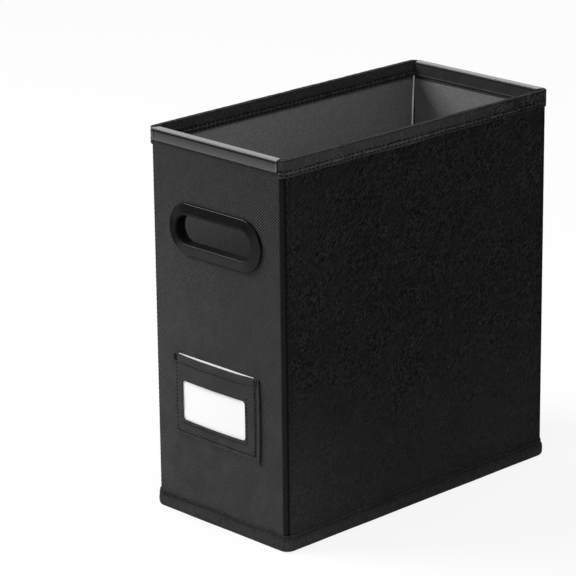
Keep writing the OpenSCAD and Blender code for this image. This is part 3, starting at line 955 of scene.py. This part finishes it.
def pocket_height(x, z):
    """How far the pocket's fabric stands off the wall."""
    side = np.minimum(x - POCKET_LOW[0], POCKET_HIGH[0] - x)
    foot = z - POCKET_LOW[2]
    mouth = POCKET_HIGH[2] - z
    edge = pocket_edge(x, z)
    seam = 0.85 + 0.15 * smooth(edge, 0, 0.8) + 1.1 * ridge(POCKET_HIGH[0] - x, 1.8)
    groove = 0.38 * ridge(edge - SEAM_W + 1.0, 0.6) * smooth(mouth, -1, 0.5)
    body = smooth(edge, SEAM_W - 0.8, SEAM_W + 1.6)
    belly = smooth(side, 2, 45) * smooth(foot, 2, 40)
    height = seam - groove + body * (0.65 + 0.55 * belly + 0.12 * waves(x, z, 22, 31))
    hem_line = 0.18 * ridge(mouth - 7.0, 0.6)
    gape = 0.5 * smooth(20 - mouth, 0, 20)
    return height + body * (gape - hem_line)


def bow_pocket(x, z):
    """Sag of the mouth and of the window's edges, and the bow of the pocket's right edge."""
    centre = (POCKET_LOW + POCKET_HIGH) / 2
    half = (POCKET_HIGH - POCKET_LOW) / 2
    across = (x - centre[0]) / half[0]
    up = (z - centre[2]) / half[2]
    window_up = (z - WINDOW_LOW[1]) / (WINDOW_HIGH[1] - WINDOW_LOW[1])
    hump = np.clip(1 - across ** 2, 0, 1)
    sag = MOUTH_SAG * smooth(up, 0.3, 1) + 1.5 * ridge(window_up, 0.5) + 0.6 * ridge(window_up - 1, 0.35)
    sag = sag * hump * smooth(up, -1.0, -0.6)
    sag = sag - (0.65 + 0.75 * smooth(np.abs(across), 0.45, 0.95)) * smooth(up, 0.55, 1)
    bow = 1.1 * smooth(across, 0.6, 1) * np.clip(1 - up ** 2, 0, 1)
    return x + bow, z - sag


def label_pocket():
    """Pocket with hemmed mouth and window, sewn down along three edges."""
    counts = (44, 30, 5)
    outline = corner_loop(POCKET_LOW[[0, 2]], POCKET_HIGH[[0, 2]], 1.6, counts)
    window = corner_loop(WINDOW_LOW, WINDOW_HIGH, 3.0, counts)
    share = np.array([0, 0.012, 0.03, 0.055, 0.085, 0.12, 0.16, 0.2, 0.25, 0.3, 0.36, 0.42, 0.48, 0.54,
                      0.6, 0.66, 0.72, 0.78, 0.84, 0.89, 0.93, 0.965, 1.0])[:, None]
    x, z = (a * (1 - share) + b * share for a, b in zip(outline, window))
    height = pocket_height(x, z)
    round_edge = 0.35 * (share == 0) + 0.30 * np.where(share > 0.93, 1 - (1 - share) / 0.07, 0)
    seam = smooth(pocket_edge(x, z), SEAM_W - 0.6, SEAM_W)
    inner_height = seam * np.maximum(POCKET_GAP + 0.02, height - 0.7)
    inner_height = np.where(share > 0.96, np.maximum(inner_height, height - 0.9), inner_height)
    bowed_x, bowed_z = bow_pocket(x, z)
    outer = points_at(bowed_x, -HALF_D - height + round_edge, bowed_z)
    inner = points_at(bowed_x, -HALF_D - inner_height, bowed_z)
    points, faces = shell(outer, inner, grid_faces(*x.shape, round_v=True))
    piece = make_piece("pocket_fabric", points, faces, END_FABRIC, ["label_pocket"], sharp=50)


def pocket_line(corners, lift=0.0):
    """A row of stitches over the pocket through (x, z) corners."""
    share = np.linspace(0, 1, 40)[:, None]
    corners = np.array(corners)
    path = np.concatenate([a * (1 - share) + b * share for a, b in zip(corners, corners[1:])])
    x, z = bow_pocket(*path.T)
    return points_at(x, -HALF_D - pocket_height(*path.T) - lift, z), points_at(0.0, -1.0, 0 * z)


def pocket_stitches():
    """Rows along the three seams, under the mouth and beside the window."""
    left, right = POCKET_LOW[0] + SEAM_W + 0.6, POCKET_HIGH[0] - SEAM_W - 0.6
    foot, mouth = POCKET_LOW[2] + SEAM_W - 1.0, POCKET_HIGH[2] - 1
    beside, below = 2.6, WINDOW_LOW[1] - 3
    rows = [
        pocket_line([(left, mouth), (left, foot)]),
        pocket_line([(left, foot), (right, foot)]),
        pocket_line([(right, foot), (right, mouth)]),
        pocket_line([(left + 1.4, mouth - 6), (right - 1.4, mouth - 6)]),
        pocket_line([(WINDOW_HIGH[0] + beside, WINDOW_HIGH[1] + 4), (WINDOW_HIGH[0] + beside, below),
                     (WINDOW_LOW[0] - beside, below)]),
    ]
    stitches("pocket_stitches", rows, r=0.38, pitch=3.4, length=2.2)


def pocket_shadow_stitches():
    """Long dark stitches over the pocket's two upright edges; on the right edge they also stand in for the
    shadow line beside it, a painted shadow.
    """
    rows = []
    for x, fall in ((POCKET_LOW[0] - 0.2, 0.5), (POCKET_HIGH[0] + 0.15, 3.5)):
        z = np.linspace(POCKET_HIGH[2] - 0.5, POCKET_LOW[2] - fall, 40)
        at_x, at_z = bow_pocket(x, z)
        rows.append((points_at(at_x, -HALF_D - 0.30, at_z), points_at(0.0, -1.0, 0 * z)))
    stitches("pocket_shadow_stitches", rows, r=0.30, pitch=3.6, length=3.3)


def pocket_bar_tacks():
    """Five slanting threads at each end of the pocket's mouth."""
    rows = []
    for x in (POCKET_LOW[0] + 3.0, POCKET_HIGH[0] - 3.0):
        for k in range(5):
            z = POCKET_HIGH[2] - 1.2 - 1.1 * k
            rows.append(pocket_line([(x - 1.8, z - 0.6), (x + 1.8, z + 0.6)], lift=0.1))
    stitches("pocket_bar_tacks", rows, r=0.32, pitch=3.5, length=3.6)


# ---- base ----

LOOP_COUNTS = (76, 150, 9)      # points along an end, along a side and round a corner of the foot


def band_swell(trip, z):
    """How far the band's face stands out past its plain form."""
    slow = 0.75 * np.sin(9 * trip + 1) + 0.6 * np.sin(14 * trip + 2.5)
    quick = 0.16 * np.sin(61 * trip + z * 0.5) + 0.10 * np.sin(97 * trip - z * 0.8)
    return np.clip(0.55 + slow * 0.7 + quick, -0.2, 1.6) * ridge(z - 6, 5.5)


def base_band():
    """Padded band round the foot, its top edge sewn down and its hem turned under."""
    edge_r = 3.0
    wall, out = rounded_rect(HALF_W, HALF_D, CORNER_R, *LOOP_COUNTS)
    face, _ = rounded_rect(HALF_W + BAND_T, HALF_D + BAND_T, BAND_R, *LOOP_COUNTS)
    under, _ = rounded_rect(HALF_W - UNDER_W, HALF_D - UNDER_W, CORNER_R, *LOOP_COUNTS)
    reach = distance_along(wall)
    trip = 2 * math.pi * reach / (reach[-1] + 2)
    top_sag = 0.35 * np.sin(11 * trip) + 0.25 * np.sin(17 * trip + 2)
    loops = []

    def ring(share, z, push=0.0):
        """Points at a share of the way from the wall to the band's face."""
        loops.append(at_height(wall + (face - wall) * share + out * np.reshape(push, (-1, 1)), z))

    for share, down in ((0.0, 0.3), (0.22, 0.0), (0.40, 0.4), (0.50, 1.2), (0.52, 1.9)):
        ring(share, BAND_TOP - down + top_sag)
    ring(0.48, BAND_ROW + top_sag, -0.05 - 0.15 * pucker(reach))
    ring(0.62, BAND_ROW - 0.9 + top_sag)
    for z in (10.4, 9.2, 8, 6.8, 5.6, 4.4):
        ring(1.0, z, band_swell(trip, z))
    for angle in (15, 32, 50, 68, 90):
        turn = math.radians(angle)
        z = edge_r * (1 - math.sin(turn))
        ring(1.0, z, band_swell(trip, z) * (1 - angle / 90) - edge_r * (1 - math.cos(turn)))
    loops.append(at_height((under + face - out * edge_r) / 2, 0))
    loops.append(at_height(under, 0.06))
    loops.append(at_height(under, UNDER_T))
    ring(0.0, UNDER_T)
    ring(0.0, BAND_TOP / 2)
    points, faces = tube_of_sections(np.stack(loops, axis=1), round_path=True)
    piece = make_piece("base_band_fabric", points, faces, BAND_FABRIC, ["base_band"], sharp=60)
    width = BAND_TOP + 2 * BAND_T + UNDER_W
    width * MM
    row = at_height(wall + (face - wall) * 0.46, BAND_ROW + top_sag)
    stitches("base_band_stitches", [(row, at_height(out, 0))], r=0.32, material=BAND_THREAD)


def base_cloth():
    """Cloth that closes the bottom, with slack creases."""
    thickness = high("base_cloth")[2] - UNDER_T
    shares = np.linspace(1, 0.02, 60)[:, None]
    loop, _ = rounded_rect(HALF_W, HALF_D, CORNER_R, *LOOP_COUNTS)
    x, y = (axis * shares for axis in loop.T)
    sag = 0.35 * smooth(1 - shares, 0.08, 0.3) * (0.5 + 0.5 * waves(x, y, 40, 71))
    outer = points_at(x, y, UNDER_T - np.clip(sag, 0, UNDER_T - 0.1))
    inner = points_at(x, y, UNDER_T + thickness)
    faces = grid_faces(*x.shape, round_v=True)
    faces.append(tuple(range(x.size - len(loop), x.size)))
    piece = make_piece("bottom_cloth", *shell(outer, inner, faces), SIDE_FABRIC, ["base_cloth"])
    2 * HALF_W * MM


def insert_cover():
    """Cloth wrapped round the loose base board, rounded at its edges."""
    lo, hi = low("base_board_cover"), high("base_board_cover")
    half = (hi - lo) / 2
    board_half = (high("base_board") - low("base_board")) / 2
    middle_z = (hi[2] + lo[2]) / 2
    loop, out = rounded_rect(half[0], half[1], 2.0, 60, 110, 6)
    shrink = board_half[:2] / half[:2]
    edge_r = half[2] * 0.8
    shares = np.linspace(0.02, 0.94, 30)
    outer, inner = [], []

    def face(side, shares, depth, seed):
        """The flat of the cloth, under or over the board."""
        for share in shares:
            flat = loop * share
            soft = depth * waves(*flat.T, 30, seed) * smooth(1 - share, 0, 0.1)
            outer.append(at_height(flat, middle_z + side * (half[2] - 0.06) + soft))
            inner.append(at_height(flat * shrink, middle_z + side * board_half[2]))

    face(-1, shares, 0.05, 83)
    for angle in np.radians(np.linspace(-90, 90, 9)):
        z = (half[2] - edge_r) * np.sign(angle) + edge_r * math.sin(angle)
        outer.append(at_height(loop - out * edge_r * (1 - math.cos(angle)), middle_z + z))
        inner_z = board_half[2] * np.clip(math.sin(angle) * 1.4, -1, 1)
        inner.append(at_height(loop * shrink, middle_z + inner_z))
    face(1, shares[::-1], 0.06, 84)

    points, faces = tube_of_sections(np.array(outer))
    lining = [tuple(p + len(points) for p in reversed(f)) for f in faces]
    points = np.concatenate([points, np.concatenate(inner)])
    piece = make_piece("insert_cover", points, faces + lining, SIDE_FABRIC, ["base_board_cover"],
                       body="base_insert")


# ---- carried-over CAD pieces ----

def dress(nodes, material):
    """Gives CAD nodes a material, and leaves their meshes alone."""
    for name in nodes:
        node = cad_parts[name]
        if not node.material_slots:
            node.data.materials.append(material)
        for place in node.material_slots:
            place.material = material


def dress_cad():
    dress(["front_rail", "back_rail"], rail_plastic())
    dress(["front_handle_bezel", "front_handle_ring", "back_handle_bezel", "back_handle_ring"],
          handle_plastic())
    dress(["label_card"], card_material())
    dress(["label_film"], film_material())
    dress(["front_board", "back_board", "left_board", "right_board", "base_board"], board_material())


# ---- stage, lights and camera, in metres ----

BACKDROP_SIDE = (-0.72, 0.69, 0)        # towards the white backdrop, past the box from the camera
AMBIENT = 0.28                          # what matt surfaces see of the studio
ROOM_GLOSS, BACKDROP_GLOSS = 0.03, 1.05
FLOOR_HALF = 6.0
FLOOR_ALBEDO = 0.80
FLOOR_WHITE = 0.86                      # share of plain white in the floor that is seen
FLAG_X, FLAG_Y = (-0.56, -0.42), (-0.72, -0.62)     # where the dark flag on the floor fades out
FLAG_GLOSS = 0.04

AZIMUTH, ELEVATION, ROLL = (math.radians(a) for a in (45.98, 17.99, -0.67))
CAMERA_DISTANCE = 2.712
CAMERA_TARGET = (-0.0811, 0.0, 0.1583)
SENSOR = 36.0                           # width in millimetres
LENS = 191.5                            # focal length in millimetres


def add_object(name, data):
    added = bpy.data.objects.new(name, data)
    bpy.context.scene.collection.objects.link(added)
    return added


def make_world():
    """White to the camera. Gloss sees a low white backdrop behind the box and a dim room."""
    world = bpy.data.worlds.new("studio")
    bpy.context.scene.world = world
    world.use_nodes = True
    n = Nodes(world.node_tree)
    background = n.tree.nodes["Background"]
    n.feed((1, 1, 1, 1), background.inputs["Color"])
    direction = n.add("ShaderNodeTexCoord").outputs["Generated"]
    behind = n.add("ShaderNodeVectorMath", {0: direction, 1: BACKDROP_SIDE}, operation="DOT_PRODUCT")
    towards = Value(n, behind.outputs["Value"])
    backdrop = towards.ease(0.0, 1.0, 0.62, 0.84) * n.split(direction)[2].ease(1.0, 0.0, 0.45, 0.75)
    camera, through, glossy, diffuse = n.rays("Is Camera Ray", "Is Transmission Ray", "Is Glossy Ray",
                                              "Is Diffuse Ray")
    gloss = backdrop.ease(ROOM_GLOSS, BACKDROP_GLOSS) * glossy
    n.feed(n.largest(camera, through, gloss, diffuse * AMBIENT), background.inputs["Strength"])


def make_floor():
    """Pale floor that keeps the shadow, shown to the camera and to gloss as nearly white.

    Gloss finds it dark to the left of the box, where a black flag stands in a studio.
    """
    mesh = bpy.data.meshes.new("floor")
    corners = [(x * FLOOR_HALF, y * FLOOR_HALF, 0) for x, y in ((-1, -1), (1, -1), (1, 1), (-1, 1))]
    mesh.from_pydata(corners, [], [(0, 1, 2, 3)])
    material = bpy.data.materials.new("floor")
    material.use_nodes = True
    material.node_tree.nodes.clear()
    n = Nodes(material.node_tree)
    camera, through, glossy = n.rays("Is Camera Ray", "Is Transmission Ray", "Is Glossy Ray")
    x, y, _ = n.split(n.add("ShaderNodeTexCoord").outputs["Object"])
    flag = x.ease(1.0, 0.0, *FLAG_X) * y.ease(0.0, 1.0, *FLAG_Y) * glossy
    matt = n.add("ShaderNodeBsdfDiffuse", {"Color": (FLOOR_ALBEDO, FLOOR_ALBEDO, FLOOR_ALBEDO, 1)})
    glow = n.add("ShaderNodeEmission", {"Strength": flag.ease(1.0, FLAG_GLOSS)})
    white = n.largest(camera, glossy, through) * FLOOR_WHITE
    mix = n.add("ShaderNodeMixShader", enumerate((white, matt.outputs[0], glow.outputs[0])))
    n.add("ShaderNodeOutputMaterial", {"Surface": mix.outputs[0]})
    mesh.materials.append(material)
    add_object("floor", mesh)


def soft_light(name, place, target, size, power):
    """Softbox of (width, height) that looks at a point."""
    data = bpy.data.lights.new(name, "AREA")
    data.shape = "RECTANGLE"
    data.size, data.size_y = size
    data.energy = power
    light = add_object(name, data)
    light.location = place
    light.rotation_mode = "QUATERNION"
    light.rotation_quaternion = (Vector(target) - Vector(place)).to_track_quat("-Z", "Y")


def make_camera():
    """Camera at the photograph's viewing angle, long lens, with a slight roll."""
    data = bpy.data.cameras.new("camera")
    data.sensor_width = SENSOR
    data.lens = LENS
    camera = add_object("camera", data)
    level = math.cos(ELEVATION)
    back = Vector((math.sin(AZIMUTH) * level, -math.cos(AZIMUTH) * level, math.sin(ELEVATION)))
    right = Vector((0, 0, 1)).cross(back).normalized()
    up = back.cross(right)
    x = right * math.cos(ROLL) + up * math.sin(ROLL)
    y = up * math.cos(ROLL) - right * math.sin(ROLL)
    turn = Matrix((x, y, back)).transposed().to_4x4()
    camera.matrix_world = Matrix.Translation(Vector(CAMERA_TARGET) + back * CAMERA_DISTANCE) @ turn
    bpy.context.scene.camera = camera


# ---- everything ----

bpy.context.scene.view_settings.view_transform = "Standard"
make_camera()
make_world()
make_floor()
soft_light("key", place=(-1.42, -1.22, 1.75), target=(0, -0.1, 0.17), size=(1.25, 1.25), power=71)
soft_light("top", place=(0.6, -0.25, 2.2), target=(0, 0, 0.2), size=(1.2, 1.2), power=19)
soft_light("back", place=(-1.1, 2.1, 1.15), target=(0, 0, 0.2), size=(3.0, 1.1), power=13)

end_cover("front_cover", turned=False, seed=11)
end_cover("back_cover", turned=True, seed=12)
side_cover("right_cover", turned=False, seed=21)
side_cover("left_cover", turned=True, seed=22)
end_lining("front_lining", turned=False, seed=41)
end_lining("back_lining", turned=True, seed=42)
side_lining("right_lining", turned=False, seed=43)
side_lining("left_lining", turned=True, seed=44)
side_hem("right_hem", turned=False, seed=51)
side_hem("left_hem", turned=True, seed=52)
hem_stitches("right_hem_stitches", turned=False)
hem_stitches("left_hem_stitches", turned=True)
end_hem("front_hem", turned=False, seed=53)
end_hem("back_hem", turned=True, seed=54)
for along, y in (("front", -1), ("back", 1)):
    for across, x in (("left", -1), ("right", 1)):
        corner_seam(f"{along}_{across}_corner_seam", x, y)
        corner_piping(f"{along}_{across}_piping", x, y)
        seam_thread(f"{along}_{across}_seam_thread", x, y)
label_pocket()
pocket_stitches()
pocket_shadow_stitches()
pocket_bar_tacks()
base_band()
base_cloth()
insert_cover()
dress_cad()
